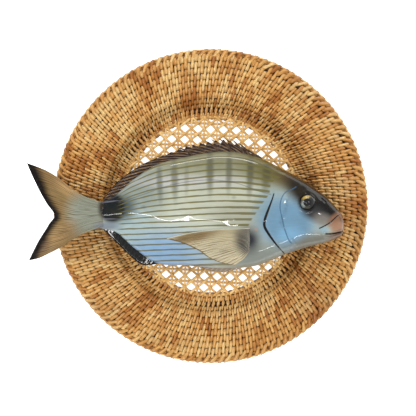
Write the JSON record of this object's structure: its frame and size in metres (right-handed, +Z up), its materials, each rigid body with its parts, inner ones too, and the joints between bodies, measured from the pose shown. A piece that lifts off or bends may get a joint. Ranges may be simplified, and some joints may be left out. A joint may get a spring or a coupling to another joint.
{
  "type": "sea bream on a plate",
  "caption": "Whole sea bream with a glossy painted skin, lying on its flank across a round coiled rattan plate with an open woven cane centre.",
  "frame": {"origin": "centre of the whole object's footprint, on the surface that the plate stands on; the plate's own axis is 13.8 mm towards +X", "axes": "+X along the fish from tail to snout, +Y towards the fish's back, +Z up off the table"},
  "size_m": [0.3576, 0.33, 0.0598],
  "materials": {
    "fish_glaze": "gloss",
    "cane_strand": "satin",
    "rattan_lashing": "satin",
    "rim_braid": "satin"
  },
  "bodies": {
    "root": {"sea_bream": "fish_glaze", "cane_webbing": "cane_strand", "cane_hoop": "cane_strand", "well_coil": "rattan_lashing", "wall_coil": "rattan_lashing", "inner_brim_coil": "rattan_lashing", "outer_brim_coil": "rattan_lashing", "rim_border": "rim_braid"}
  },
  "joints": []
}
